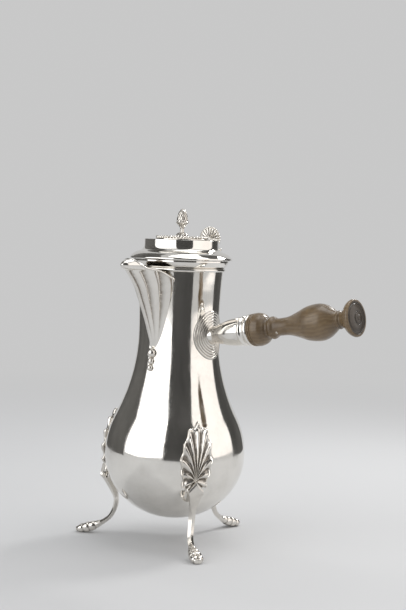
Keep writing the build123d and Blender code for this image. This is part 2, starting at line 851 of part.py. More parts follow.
# ---------------------------------------------------------------- files
pieces = [
    body, mouth_moulding, spout, spout_drop, handle_escutcheon, handle_socket, handle_tang,
    handle_grip, handle_pin, lid, lid_bezel, cover_disc, bead_border, cover_rivet, cover_washer,
    finial, finial_rosette, pot_hinge_leaf, lid_hinge_leaf, hinge_pin, thumbpiece,
]
os.makedirs("parts", exist_ok=True)
for piece in pieces:
    export_step(piece.part, f"parts/{piece.part.label}.step")
for name, part in legs.items():
    part.label = name
    export_step(part, f"parts/{name}.step")
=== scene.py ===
from math import asin, atan2, copysign, cos, exp, pi, radians, sin, sqrt

import bmesh
import bpy
from mathutils import Matrix, Vector


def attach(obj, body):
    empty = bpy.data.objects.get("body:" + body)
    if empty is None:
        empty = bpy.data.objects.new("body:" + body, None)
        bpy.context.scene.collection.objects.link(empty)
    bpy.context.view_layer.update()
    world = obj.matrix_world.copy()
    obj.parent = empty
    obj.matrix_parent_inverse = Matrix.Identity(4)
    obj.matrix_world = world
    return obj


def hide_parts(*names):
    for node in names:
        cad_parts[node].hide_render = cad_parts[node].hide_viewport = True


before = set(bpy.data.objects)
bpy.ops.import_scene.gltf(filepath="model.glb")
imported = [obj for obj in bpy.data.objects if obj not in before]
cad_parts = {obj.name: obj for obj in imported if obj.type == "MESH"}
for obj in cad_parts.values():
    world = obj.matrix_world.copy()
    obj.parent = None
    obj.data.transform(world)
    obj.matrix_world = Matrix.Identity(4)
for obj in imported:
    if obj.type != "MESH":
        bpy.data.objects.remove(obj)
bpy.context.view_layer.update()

# Everything below is drawn in millimetres and scaled to metres as each piece is finished.
MM = 0.001

# ---- the pot's own sizes
base_z, belly_z, belly_r, belly_rise = 17.8, 66.0, 52.6, 48.2
neck_z, neck_r, mouth_z, mouth_r = 158.0, 30.1, 212.0, 32.6
upper_belly_arc = 64.5
belly_step, neck_rise = belly_r - neck_r, neck_z - belly_z
arc_sum = (belly_step**2 + neck_rise**2) / (2 * belly_step)
shoulder_arc = arc_sum - upper_belly_arc
blend = asin(neck_rise / arc_sum)
flare_arc = ((mouth_z - neck_z) ** 2 + (mouth_r - neck_r) ** 2) / (2 * (mouth_r - neck_r))

lid_seat, lid_top = 212.2, 226.9
cover_base = 227.05
cover_top = 227.95
bead_ring_r, bead_r, bead_count = 18.2, 1.25, 46

handle_z, handle_tilt = 152.2, radians(9.8)
handle_place = Matrix.Translation((0, 0, handle_z)) @ Matrix.Rotation(pi / 2 - handle_tilt, 4, "Y")

leg_azimuths = {"front": radians(-36), "rear": radians(84), "left": radians(204)}
hinge_y, hinge_z = 40.6, 212.4


def skin(z):
    """Radius of the pot's outer skin at a height."""
    if z < belly_z:
        return belly_r * sqrt(max(0, 1 - ((belly_z - z) / belly_rise) ** 2))
    if z < belly_z + upper_belly_arc * sin(blend):
        return belly_r - upper_belly_arc + sqrt(upper_belly_arc**2 - (z - belly_z) ** 2)
    if z < neck_z:
        return neck_r + shoulder_arc - sqrt(shoulder_arc**2 - (neck_z - z) ** 2)
    return neck_r + flare_arc - sqrt(flare_arc**2 - (z - neck_z) ** 2)


def skin_normal(z):
    """Outward normal of the skin at a height, as (radial, upward)."""
    if z < belly_z:
        out = Vector((skin(z) / belly_r**2, (z - belly_z) / belly_rise**2))
    else:
        out = Vector((1, skin(z - 0.05) / 0.1 - skin(z + 0.05) / 0.1))
    return out.normalized()


def profile_point(z, out=0.0):
    """(radius, height) at a height on the skin, moved out along its normal."""
    normal = skin_normal(z)
    return skin(z) + out * normal.x, z + out * normal.y


def on_skin(azimuth, z, out):
    """A point on the pot's skin, moved out along its normal."""
    radius, height = profile_point(z, out)
    return Vector((radius * cos(azimuth), radius * sin(azimuth), height))


# ---- drawing tools
def smoothstep(low, high, value):
    """0 below low, 1 above high, and a soft S between them."""
    share = min(1.0, max(0.0, (value - low) / (high - low)))
    return share * share * (3 - 2 * share)


def flowing(points, each):
    """Points on a smooth line through the given ones."""
    rows = [Vector(p) for p in points]
    rows = [2 * rows[0] - rows[1], *rows, 2 * rows[-1] - rows[-2]]
    line = []
    for a, b, c, d in zip(rows, rows[1:], rows[2:], rows[3:]):
        for step in range(each):
            t = step / each
            slope = (c - a) * t / 2
            bend = (a - 2.5 * b + 2 * c - d / 2) * t**2
            twist = (1.5 * (b - c) + (d - a) / 2) * t**3
            line.append(b + slope + bend + twist)
    return line + [rows[-2]]


def along(line, share):
    """The point at a share of the way along a list of points, by count."""
    place = min(max(share, 0.0), 1.0) * (len(line) - 1)
    index = min(int(place), len(line) - 2)
    return line[index].lerp(line[index + 1], place - index)


def eased(outline, radius):
    """An outline with each sharp corner turned into a small arc."""
    rows = [Vector(p) for p in outline]
    line = [rows[0]]
    for before, corner, after in zip(rows, rows[1:], rows[2:]):
        back, ahead = before - corner, after - corner
        if min(back.length, ahead.length) < 1e-6 or back.angle(-ahead, 0) < radians(18):
            line.append(corner)
            continue
        reach = min(radius, 0.4 * back.length, 0.4 * ahead.length)
        start, end = corner + back.normalized() * reach, corner + ahead.normalized() * reach
        if back.length > 5 * reach:
            line.append(start + back.normalized() * reach)
        for t in (0, 0.25, 0.5, 0.75, 1):
            line.append(start.lerp(corner, t).lerp(corner.lerp(end, t), t))
        if ahead.length > 5 * reach:
            line.append(end + ahead.normalized() * reach)
    return line + [rows[-1]]


def arc(start, end, radius, steps):
    """An arc between two points. It bulges left of its way, or right where the radius is negative."""
    a, b = Vector(start), Vector(end)
    chord = b - a
    middle = (a + b) / 2
    side = Vector((-chord.y, chord.x)).normalized()
    centre = middle - side * copysign(sqrt(max(radius**2 - chord.length_squared / 4, 0)), radius)
    first, last = a - centre, b - centre
    sweep = -first.angle_signed(last)
    line = []
    for step in range(steps + 1):
        turn = sweep * step / steps
        line.append(centre + Matrix.Rotation(turn, 2) @ first)
    return line


def turned(outline, steps, closed=False):
    """A shape turned on a lathe: an outline of (radius, height) points spun round the Z axis."""
    bm = bmesh.new()
    line = [bm.verts.new((max(p[0], 0), 0, p[1])) for p in outline]
    pairs = list(zip(line, line[1:])) + ([(line[-1], line[0])] if closed else [])
    for pair in pairs:
        bm.edges.new(pair)
    drawn = bm.verts[:] + bm.edges[:]
    bmesh.ops.spin(bm, geom=drawn, axis=(0, 0, 1), cent=(0, 0, 0), angle=2 * pi, steps=steps, use_merge=True)
    bmesh.ops.remove_doubles(bm, verts=bm.verts, dist=1e-4)
    return bm


def surface(across, up, place, merge=1e-4):
    """A grid drawn by place(u, v), both from 0 to 1, which gives a point and how hollow the metal is."""
    bm = bmesh.new()
    bmesh.ops.create_grid(bm, x_segments=across, y_segments=up, size=0.5)
    hollow = bm.verts.layers.float.new("hollow")
    for vert in bm.verts:
        vert.co, vert[hollow] = place(vert.co.x + 0.5, vert.co.y + 0.5)
    bmesh.ops.remove_doubles(bm, verts=bm.verts, dist=merge)
    return bm


def joined(*parts):
    """Several bmeshes in one."""
    whole = bmesh.new()
    for part in parts:
        mesh = bpy.data.meshes.new("loose")
        part.to_mesh(mesh)
        part.free()
        whole.from_mesh(mesh)
        bpy.data.meshes.remove(mesh)
    return whole


def moved(bm, matrix):
    """The shape, moved by a matrix."""
    bmesh.ops.transform(bm, matrix=matrix, verts=bm.verts)
    return bm


def ball(centre, radius, squash, fineness):
    """A ball, or an egg where squash isn't 1."""
    bm = bmesh.new()
    bmesh.ops.create_icosphere(bm, subdivisions=fineness, radius=radius)
    return moved(bm, Matrix.Translation(centre) @ Matrix.Diagonal((1, 1, squash, 1)))


def plate(outline, thickness, place):
    """A flat plate: an outline in its own XY plane, thick both ways, put in place by a matrix."""
    bm = bmesh.new()
    face = bm.faces.new([bm.verts.new((p[0], p[1], -thickness / 2)) for p in outline])
    raised = bmesh.ops.extrude_face_region(bm, geom=[face])["geom"]
    lifted = [v for v in raised if isinstance(v, bmesh.types.BMVert)]
    bmesh.ops.translate(bm, vec=(0, 0, thickness), verts=lifted)
    return moved(bm, place)


def linked(name, data):
    """An object of a mesh, lamp or camera, in the scene."""
    made = bpy.data.objects.new(name, data)
    bpy.context.scene.collection.objects.link(made)
    return made


def meshed(bm, name, finish):
    """The drawn shape as an object of one material."""
    mesh = bpy.data.meshes.new(name)
    bm.to_mesh(mesh)
    bm.free()
    mesh.materials.append(finish)
    return linked(name, mesh)


def finished(bm, name, body, nodes, finish, bevel=0.0):
    """Makes the drawn shape a piece that rides on a body and stands for its nodes."""
    bmesh.ops.recalc_face_normals(bm, faces=bm.faces)
    bmesh.ops.scale(bm, vec=(MM, MM, MM), verts=bm.verts)
    piece = meshed(bm, name, finish)
    piece.data.shade_smooth()
    if bevel:
        edge = piece.modifiers.new("soft edges", "BEVEL")
        edge.width, edge.segments, edge.angle_limit = bevel * MM, 3, radians(38)
        edge.harden_normals = True
    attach(piece, body)
    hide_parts(*nodes)
    return piece


# ---- finishes
def add(tree, kind, inputs=None, **settings):
    """Adds a node, sets it up and fills or links its inputs."""
    made = tree.nodes.new(kind)
    for name, value in settings.items():
        setattr(made, name, value)
    for key, value in (inputs or {}).items():
        if isinstance(value, bpy.types.NodeSocket):
            tree.links.new(value, made.inputs[key])
        else:
            made.inputs[key].default_value = value
    return made


def blended(tree, amount, first, second):
    """Mixes two colours by an amount."""
    return add(tree, "ShaderNodeMix", {0: amount, 6: first, 7: second}, data_type="RGBA").outputs[2]


def maths(tree, operation, *values, clamp=False):
    """The result of one sum."""
    made = add(tree, "ShaderNodeMath", dict(enumerate(values)), operation=operation, use_clamp=clamp)
    return made.outputs[0]


def ranged(tree, value, low, high, to_low=0.0, to_high=1.0):
    """A value carried from one range to another and held inside it."""
    return add(tree, "ShaderNodeMapRange", {0: value, 1: low, 2: high, 3: to_low, 4: to_high}).outputs[0]


def noise(tree, place, scale, detail, roughness=0.5):
    """Noise by the place on the piece."""
    inputs = {0: place, "Scale": scale, "Detail": detail, "Roughness": roughness}
    return add(tree, "ShaderNodeTexNoise", inputs).outputs[0]


def effect(name, inputs, outputs):
    """An empty node group that is given a place and its own inputs, with its input and output sockets."""
    group = bpy.data.node_groups.new(name, "ShaderNodeTree")
    for title, kind, value in (("Place", "NodeSocketVector", (0, 0, 0)), *inputs):
        socket = group.interface.new_socket(title, in_out="INPUT", socket_type=kind)
        socket.default_value = value
    for title, kind in outputs:
        group.interface.new_socket(title, in_out="OUTPUT", socket_type=kind)
    return group, group.nodes.new("NodeGroupInput").outputs, group.nodes.new("NodeGroupOutput").inputs


FLOAT, COLOUR = "NodeSocketFloat", "NodeSocketColor"


def make_hairlines():
    """Fine polishing scratches that run in three directions."""
    group, given, result = effect("polishing hairlines", [("Fineness", FLOAT, 900.0)], [("Lines", FLOAT)])
    total = None
    for turn, stretch in (((0.2, 0.1, 0.4), 0.03), ((1.1, 0.5, 1.9), 0.05), ((0.4, 1.3, 2.8), 0.04)):
        way = add(group, "ShaderNodeMapping", {0: given["Place"], 2: turn, 3: (1, 1, stretch)}).outputs[0]
        line = ranged(group, noise(group, way, given["Fineness"], 2.0), 0.58, 0.74)
        total = line if total is None else maths(group, "MAXIMUM", total, line)
    group.links.new(total, result["Lines"])
    return group


def make_handling():
    """Smudges and dull patches left by hands and cloths, and soft dents in the raised sheet."""
    outputs = [("Smudge", FLOAT), ("Dents", FLOAT)]
    group, given, result = effect("handling", [("Patch size", FLOAT, 30.0)], outputs)
    wide = noise(group, given["Place"], given["Patch size"], 5.0, 0.6)
    fine = noise(group, given["Place"], maths(group, "MULTIPLY", given["Patch size"], 9.0), 4.0)
    patches, broken = ranged(group, wide, 0.42, 0.70), ranged(group, fine, 0.3, 0.7, 0.5, 1.0)
    group.links.new(maths(group, "MULTIPLY", patches, broken), result["Smudge"])
    group.links.new(noise(group, given["Place"], 26.0, 1.0), result["Dents"])
    return group


def make_tarnish():
    """Brown-grey sulphide that stays where a cloth doesn't reach."""
    group, given, result = effect(
        "tarnish",
        [
            ("Bright", COLOUR, (0.8, 0.8, 0.8, 1)),
            ("Dark", COLOUR, (0.1, 0.08, 0.06, 1)),
            ("Hollow", FLOAT, 0.0),
            ("Spread", FLOAT, 0.1),
        ],
        [("Colour", COLOUR), ("Amount", FLOAT)],
    )
    cloud = noise(group, given["Place"], 55.0, 6.0, 0.65)
    veil = maths(group, "MULTIPLY", ranged(group, cloud, 0.38, 0.75), given["Spread"])
    crevice = add(group, "ShaderNodeNewGeometry").outputs["Pointiness"]
    nook = maths(group, "MULTIPLY", ranged(group, crevice, 0.49, 0.43), 0.7)
    grime = noise(group, given["Place"], 420.0, 3.0)
    hollow = maths(group, "MULTIPLY", given["Hollow"], ranged(group, grime, 0.25, 0.65, 0.55, 1.0))
    amount = maths(group, "ADD", veil, maths(group, "MAXIMUM", nook, hollow), clamp=True)
    group.links.new(amount, result["Amount"])
    group.links.new(blended(group, amount, given["Bright"], given["Dark"]), result["Colour"])
    return group


def make_grain():
    """Long-grained turned wood: rings stretched along the work, pores, and darker grooves."""
    group, given, result = effect(
        "turned grain",
        [
            ("Light", COLOUR, (0.3, 0.2, 0.1, 1)),
            ("Middle", COLOUR, (0.2, 0.1, 0.05, 1)),
            ("Dark", COLOUR, (0.08, 0.04, 0.02, 1)),
        ],
        [("Colour", COLOUR), ("Pores", FLOAT), ("Rings", FLOAT)],
    )
    bend = add(group, "ShaderNodeTexNoise", {0: given["Place"], "Scale": 34.0, "Detail": 3.0})
    by = {0: bend.outputs["Color"], 1: (0.010, 0.010, 0.010)}
    shift = add(group, "ShaderNodeVectorMath", by, operation="MULTIPLY")
    loose = add(group, "ShaderNodeVectorMath", {0: given["Place"], 1: shift.outputs[0]}, operation="ADD")
    long_way = add(group, "ShaderNodeMapping", {0: loose.outputs[0], 1: (0.011, 0.004, 0), 3: (1, 1, 0.12)})
    rings = add(
        group,
        "ShaderNodeTexWave",
        {0: long_way.outputs[0], "Scale": 120.0, "Distortion": 5.0, "Detail": 3.0, "Detail Scale": 1.4},
        wave_type="RINGS",
        rings_direction="Z",
    ).outputs["Color"]
    streaks = add(group, "ShaderNodeMapping", {0: given["Place"], 3: (1, 1, 0.035)}).outputs[0]
    pores = ranged(group, noise(group, streaks, 1300.0, 4.0), 0.60, 0.72)
    cloud = noise(group, given["Place"], 60.0, 4.0)
    warm = blended(group, ranged(group, rings, 0.05, 0.95, 0.0, 0.8), given["Light"], given["Middle"])
    stained = blended(group, ranged(group, cloud, 0.42, 0.78, 0.0, 0.75), warm, given["Dark"])
    colour = blended(group, maths(group, "MULTIPLY", pores, 0.55), stained, given["Dark"])
    group.links.new(colour, result["Colour"])
    group.links.new(pores, result["Pores"])
    group.links.new(rings, result["Rings"])
    return group


hairlines, handling, tarnish, grain = make_hairlines(), make_handling(), make_tarnish(), make_grain()


def material(name):
    """An empty material, its node tree and the place on the piece."""
    made = bpy.data.materials.new(name)
    made.use_nodes = True
    made.node_tree.nodes.clear()
    tree = made.node_tree
    place = add(tree, "ShaderNodeTexCoord").outputs["Object"]
    return made, tree, place


def grouped(tree, group, inputs):
    """What one of the effects gives."""
    return add(tree, "ShaderNodeGroup", inputs, node_tree=group).outputs


def shaded(tree, inputs):
    """Ends a material in its shader."""
    shader = add(tree, "ShaderNodeBsdfPrincipled", inputs)
    add(tree, "ShaderNodeOutputMaterial", {"Surface": shader.outputs[0]})


def silver(name, bright, dark, gloss, spread, dent=0.5):
    """Old silver: bright where a cloth reaches, tarnished in its hollows, scratched and a little uneven."""
    made, tree, place = material(name)
    hollow = add(tree, "ShaderNodeAttribute", attribute_name="hollow").outputs["Fac"]
    tones = {"Place": place, "Bright": bright, "Dark": dark, "Hollow": hollow, "Spread": spread}
    toned = grouped(tree, tarnish, tones)
    hands = grouped(tree, handling, {"Place": place, "Patch size": 38.0})
    fine = grouped(tree, hairlines, {"Place": place, "Fineness": 1500.0})
    smudged = maths(tree, "MULTIPLY", hands["Smudge"], 0.14)
    dull = maths(tree, "ADD", smudged, maths(tree, "MULTIPLY", toned["Amount"], 0.30))
    dull = maths(tree, "ADD", dull, maths(tree, "MULTIPLY", fine["Lines"], 0.05))
    rough = maths(tree, "ADD", dull, gloss, clamp=True)
    shade = blended(tree, maths(tree, "MULTIPLY", hands["Smudge"], 0.16), toned["Colour"], dark)
    sunk = add(tree, "ShaderNodeBump", {"Strength": dent, "Distance": 0.0016, "Height": hands["Dents"]})
    scratched = {"Strength": 0.02, "Distance": 0.0002, "Height": fine["Lines"], "Normal": sunk.outputs[0]}
    normal = add(tree, "ShaderNodeBump", scratched).outputs[0]
    shaded(tree, {"Base Color": shade, "Metallic": 1.0, "Roughness": rough, "Normal": normal})
    return made


def turned_wood(name):
    """Waxed fruitwood, its pattern laid along the handle."""
    made, tree, place = material(name)
    # local z along the handle: the mapping turns the handle's axis upright
    upright = add(
        tree,
        "ShaderNodeMapping",
        {0: place, 1: (0, 0, handle_z * MM), 2: (0, pi / 2 - handle_tilt, 0)},
        vector_type="TEXTURE",
    ).outputs[0]
    wood = grouped(
        tree,
        grain,
        {
            "Place": upright,
            "Light": (0.185, 0.128, 0.068, 1),
            "Middle": (0.148, 0.098, 0.050, 1),
            "Dark": (0.060, 0.040, 0.024, 1),
        },
    )
    hands = grouped(tree, handling, {"Place": place, "Patch size": 60.0})
    hollow = add(tree, "ShaderNodeNewGeometry").outputs["Pointiness"]
    groove = ranged(tree, hollow, 0.492, 0.455, 0.0, 0.8)
    colour = blended(tree, groove, wood["Colour"], (0.030, 0.018, 0.012, 1))
    worn = ranged(tree, hollow, 0.52, 0.57, 0.0, 0.35)
    colour = blended(tree, worn, colour, (0.33, 0.23, 0.135, 1))
    colour = blended(tree, maths(tree, "MULTIPLY", hands["Smudge"], 0.35), colour, (0.06, 0.04, 0.028, 1))
    # the end grain on the button's face has gone dark from the palm
    spot = add(tree, "ShaderNodeSeparateXYZ", {0: upright}).outputs
    flat = add(tree, "ShaderNodeVectorMath", {0: upright, 1: (1, 1, 0)}, operation="MULTIPLY").outputs[0]
    inward = add(tree, "ShaderNodeVectorMath", {0: flat}, operation="LENGTH").outputs["Value"]
    at_end = ranged(tree, spot["Z"], 0.1532, 0.1537)
    in_face = ranged(tree, inward, 0.0121, 0.0112, 0.0, 0.8)
    colour = blended(tree, maths(tree, "MULTIPLY", at_end, in_face), colour, (0.022, 0.018, 0.015, 1))
    rough = ranged(tree, hands["Smudge"], 0, 1, 0.30, 0.46)
    rough = maths(tree, "ADD", rough, maths(tree, "MULTIPLY", wood["Pores"], 0.15))
    height = maths(tree, "SUBTRACT", maths(tree, "MULTIPLY", wood["Rings"], 0.25), wood["Pores"])
    bumped = add(tree, "ShaderNodeBump", {"Strength": 0.25, "Distance": 0.0002, "Height": height})
    shaded(
        tree,
        {
            "Base Color": colour,
            "Roughness": rough,
            "Normal": bumped.outputs[0],
            "Specular IOR Level": 0.45,
            "Coat Weight": ranged(tree, hands["Smudge"], 0, 1, 0.35, 0.15),
            "Coat Roughness": 0.22,
        },
    )
    return made


sheet_silver = silver("raised sheet silver", (0.86, 0.84, 0.80, 1), (0.20, 0.165, 0.125, 1), 0.045, 0.10)
cast_silver = silver(
    "cast and chased silver", (0.83, 0.80, 0.75, 1), (0.10, 0.078, 0.055, 1), 0.10, 0.18, dent=0.25
)
inner_silver = silver(
    "plain silver inside", (0.70, 0.66, 0.60, 1), (0.16, 0.12, 0.08, 1), 0.22, 0.45, dent=0.2
)
handle_wood = turned_wood("turned and waxed fruitwood")


# ---- body
wall = 1.0


def bowl_point(share, out=0.0):
    """A point of the bowl's outline, from its foot at 0 to the belly at 1."""
    return profile_point(belly_z - belly_rise * cos(radians(90) * share), out)


def draw_body():
    """The raised shell with its inner face, open at the mouth and behind the spout."""
    low_rows, high_rows, inner_high_rows, inner_low_rows = 44, 86, 46, 26
    rise = mouth_z - belly_z
    low = [bowl_point(i / low_rows) for i in range(low_rows)]
    high = [profile_point(belly_z + rise * i / high_rows) for i in range(high_rows + 1)]
    steps = range(1, inner_high_rows + 1)
    inner_high = [profile_point(mouth_z - rise * i / inner_high_rows, -wall) for i in steps]
    inner_low = [bowl_point(i / inner_low_rows, -wall) for i in reversed(range(inner_low_rows))]
    edge = [(mouth_r - 0.15, mouth_z), (mouth_r - 0.85, mouth_z)]
    low[0] = (0, base_z)
    inner_low[-1] = (0, base_z + wall)
    bm = turned(low + high[:-1] + [(mouth_r, mouth_z - 0.15)] + edge + inner_high + inner_low, steps=208)
    # the wall is pierced by a wedge behind the spout, from its point up to its lip
    half, top, point = radians(30), 198.6, 152.0
    cuts = [((0, 0, top), (0, 0, 1))]
    for side in (-1, 1):
        edge_way = Vector((side * neck_r * sin(half), 0, top - point))
        cuts.append(((0, 0, point), edge_way.cross(Vector((0, 1, 0))) * side))
    for place, normal in cuts:
        near = []
        for f in bm.faces:
            c = f.calc_center_median()
            if c.y < -10 and point - 4 < c.z < top + 5.4:
                near.append(f)
        touched = set(near)
        for f in near:
            touched.update(f.verts)
            touched.update(f.edges)
        bmesh.ops.bisect_plane(bm, geom=list(touched), plane_co=place, plane_no=normal, dist=1e-5)
    gone = []
    for f in bm.faces:
        c = f.calc_center_median()
        if c.y < -10 and point < c.z < top and abs(c.x) < neck_r * sin(half) * (c.z - point) / (top - point):
            gone.append(f)
    bmesh.ops.delete(bm, geom=gone, context="FACES")
    bmesh.ops.remove_doubles(bm, verts=bm.verts, dist=1e-4)
    bmesh.ops.bridge_loops(bm, edges=[e for e in bm.edges if e.is_boundary])
    return bm


finished(draw_body(), "body_shell", "pot", ["body"], sheet_silver)

# ---- mouth moulding
moulding_base, moulding_r = 203.8, 35.8
foot_r = skin(moulding_base)
bead_line = arc((foot_r + 0.4, moulding_base), (foot_r + 0.4, moulding_base + 2.6), -1.3, 10)
swell_line = arc(bead_line[-1], (moulding_r, mouth_z - 1.2), -10.7, 10)
ring = [
    (mouth_r - 0.6, moulding_base + 0.1),
    (foot_r + 0.1, moulding_base),
    *bead_line,
    *swell_line,
    (moulding_r, mouth_z - 0.02),
    (mouth_r - 0.4, mouth_z - 0.02),
]
ring_shape = turned(eased(ring, 0.18), 192, closed=True)
finished(ring_shape, "mouth_ring", "pot", ["mouth_moulding"], sheet_silver)

# ---- spout
spout_foot = 147.0
# rise over the spout's foot, reach of its keel, and half its width round the neck in degrees
spout_rows = flowing(
    [
        (0.0, 30.6, 8.0), (12.0, 35.2, 16.0), (25.0, 41.4, 22.5), (36.0, 47.4, 28.0),
        (45.0, 52.4, 30.8), (52.0, 58.4, 32.4), (56.4, 62.7, 33.0), (57.6, 63.6, 33.0),
    ],
    each=14,
) + flowing(
    [
        (57.9, 64.6, 33.0), (58.6, 67.0, 33.0), (60.4, 68.5, 33.0), (61.8, 68.6, 33.0),
        (63.8, 66.3, 33.0), (65.4, 62.6, 33.0), (66.5, 59.4, 33.0),
    ],
    each=10,
)
# reach and height of the lip
lip_rows = flowing(
    [
        (27.0, 198.4), (32.0, 200.6), (37.0, 203.4), (42.0, 205.0),
        (47.5, 205.8), (53.0, 207.0), (57.5, 209.6), (60.5, 212.0),
        (63.0, 213.0), (67.0, 213.4), (71.0, 213.4),
    ],
    each=10,
)
flutes = 7


def value_at(rows, key, column=1):
    """Looks up a column of a smooth table by its first column."""
    for a, b in zip(rows, rows[1:]):
        if a[0] <= key <= b[0]:
            return a[column] + (b[column] - a[column]) * (key - a[0]) / (b[0] - a[0])
    return rows[0][column] if key < rows[0][0] else rows[-1][column]


def spout_point(side, z):
    """A point of the spout's outer face and how hollow it is. side is -1 to 1 across it, 0 on its keel."""
    reach = value_at(spout_rows, z - spout_foot, 1)
    half = radians(value_at(spout_rows, z - spout_foot, 2))
    hold = skin(min(z, mouth_z)) - 0.5
    root = Vector((hold * sin(half), -hold * cos(half)))
    keel = Vector((0, -reach))
    width = (root - keel).length
    share = abs(side)
    swell = 1.2 * (z - spout_foot) / 59
    near_keel = keel + Vector((0.30 * root.x, 0))
    near_root = root.lerp(keel, 0.38) + Vector((swell, -0.3 * swell))
    rest = 1 - share
    spot = (
        keel * rest**3
        + near_keel * 3 * rest**2 * share
        + near_root * 3 * rest * share**2
        + root * share**3
    )
    way = (
        (near_keel - keel) * rest**2
        + (near_root - near_keel) * 2 * rest * share
        + (root - near_root) * share**2
    )
    normal = Vector((-way.y, way.x)).normalized()
    if normal.y > 0 and share < 0.5:
        normal = -normal
    if normal.x < 0:
        normal = -normal
    # gadroons that run up from the point, parted by sharp creases, under the smooth nose
    lobe = abs(cos(pi * side * flutes / 2))
    crease = (1 - lobe) ** 1.7
    depth = 0.17 * (2 * width / flutes) * smoothstep(149, 162, z) * (1 - smoothstep(203.4, 204.8, z))
    spot -= normal * depth * crease
    return Vector((copysign(spot.x, side) if side else 0.0, spot.y, z)), crease * min(1, depth)


def lip_height(side):
    """Where a line up the spout meets the lip."""
    low, high = 190.0, 213.4
    for _ in range(22):
        middle = (low + high) / 2
        if middle < value_at(lip_rows, -spout_point(side, middle)[0].y):
            low = middle
        else:
            high = middle
    return low


def draw_spout(u, v):
    """The fluted beak, from seam to seam across and from its point up to the lip."""
    side = 2 * u - 1
    top = lips[round(u * across_spout)]
    point, crease = spout_point(side, spout_foot + (top - spout_foot) * v**0.92)
    return point, 0.75 * crease


def draw_lip_wire(u, v):
    """The rounded edge along the lip: a wire that follows it from side to side."""
    place = round(u * across_spout)
    before, after = lip_line[max(place - 2, 0)], lip_line[min(place + 2, across_spout)]
    run = (after - before).normalized()
    out = Vector((lip_line[place].x, lip_line[place].y + 50, 0)).normalized()
    across = (out - run * out.dot(run)).normalized()
    turn = 2 * pi * v
    return lip_line[place] + (across * cos(turn) + across.cross(run) * sin(turn)) * lip_wire_r, 0.0


def smoothed(line, times):
    """A line with its sharp turns evened out and its ends kept."""
    for _ in range(times):
        inner = [(a + b * 2 + c) / 4 for a, b, c in zip(line, line[1:], line[2:])]
        line = [line[0], *inner, line[-1]]
    return line


across_spout = 180
lip_wire_r = 0.78
lips = [lip_height(2 * i / across_spout - 1) for i in range(across_spout + 1)]
lip_edge = [spout_point(2 * i / across_spout - 1, lips[i])[0] for i in range(across_spout + 1)]
lip_lift = Vector((0, 0, 0.75))  # the wire stands on the lip
lip_line = smoothed([point * 0.994 + lip_lift for point in lip_edge], 6)
spout = surface(across_spout, 110, draw_spout)
bmesh.ops.recalc_face_normals(spout, faces=spout.faces)
for inner in bmesh.ops.solidify(spout, geom=spout.faces[:], thickness=0.95)["geom"]:
    if isinstance(inner, bmesh.types.BMFace):
        inner.material_index = 1
spout = joined(spout, surface(across_spout, 12, draw_lip_wire, 1e-3))
beak = finished(spout, "fluted_spout", "pot", ["spout"], sheet_silver)
beak.data.materials.append(inner_silver)

half_turn = [radians(15 * i - 90) for i in range(13)]
drops = []
drop_z = spout_foot
for drop_r, shown_r in ((3.5, 3.4), (2.7, 2.35), (2.4, 2.3)):
    drop_z -= drop_r
    seat = skin(drop_z) + 0.2 * drop_r
    drops.append(moved(ball((0, 0, 0), shown_r, drop_r / shown_r, 4), Matrix.Translation((0, -seat, drop_z))))
    collar = turned([(0.62 * drop_r * cos(t), 0.3 * sin(t)) for t in half_turn], 32)
    drops.append(moved(collar, Matrix.Translation((0, -seat + 0.3, drop_z + 0.93 * drop_r))))
    drop_z -= 0.93 * drop_r
finished(joined(*drops), "spout_pendant", "pot", ["spout_drop"], cast_silver)

# ---- shells on the belly
# cusps of the shell's rim, from the top round to the foot: across, height
shell_cusps = [(0, 96.6), (7.0, 91.0), (10.4, 81.2), (12.4, 70.0), (11.0, 59.6), (9.2, 50.4), (5.4, 45.6)]
shell_hub = Vector((0, 55.0))
notch_depth = 2.5  # how far the rim is scooped in between two cusps

# the front leg was soldered on a little askew: how far its shell leans, and its leg at each height
shell_leans = {"front": 3.0, "rear": 0.0, "left": 0.0}
leg_leans = flowing(
    [(0.0, -2.3), (6.0, -2.3), (13.0, -0.9), (22.0, 0.9), (32.0, 1.3), (44.0, 0.8), (56.0, 0.4)], each=10
)


def draw_shell(azimuth, lean):
    """A fan of hollow flutes parted by ridges. Each ridge ends in a cusp that points down and out."""
    rays = [Vector(cusp) - shell_hub for cusp in shell_cusps]

    def place(u, v):
        step = (2 * u - 1) * (len(rays) - 1)
        side, step = copysign(1, step), abs(step)
        leaf = min(int(step), len(rays) - 2)
        share = step - leaf
        upper, lower = rays[leaf], rays[leaf + 1]
        turn = atan2(upper.x, upper.y) * (1 - share) + atan2(lower.x, lower.y) * share
        notch = min((share / 0.3) ** 0.6, ((1 - share) / 0.7) ** 0.85)
        reach = upper.length * (1 - share) + lower.length * share - notch_depth * notch
        ridge = 0.5 + 0.5 * cos(2 * pi * share)
        if v <= 0.93:
            out_share = (v / 0.93) ** 0.85
            opening = smoothstep(0.0, 0.30, out_share)
            out = 1.9 - 0.75 * out_share + opening * (0.85 * ridge - 0.65 * (1 - ridge))
            out -= 0.55 * (1 - ridge) * exp(-(((out_share - 0.84) / 0.08) ** 2))
            out += (0.75 + 0.35 * ridge**3) * exp(-(((out_share - 0.955) / 0.035) ** 2))
            hollow = 0.85 * opening * (1 - ridge) ** 1.3
            hollow *= 1 - smoothstep(0.89, 0.94, out_share)
        else:
            out_share, out, hollow = 1 - 0.3 * (v - 0.93), -0.45, 1.0
        tip = Vector((sin(turn), cos(turn))) * reach
        bend = Vector((0.30 * tip.x, 0.5 * tip.y + 0.22 * tip.x))
        bent = bend * 2 * out_share * (1 - out_share) + tip * out_share**2
        height = shell_hub.y + bent.y
        across = side * bent.x + lean * smoothstep(38, 112, height)
        return on_skin(azimuth + across / skin(height), height, out), hollow

    return surface(216, 56, place)


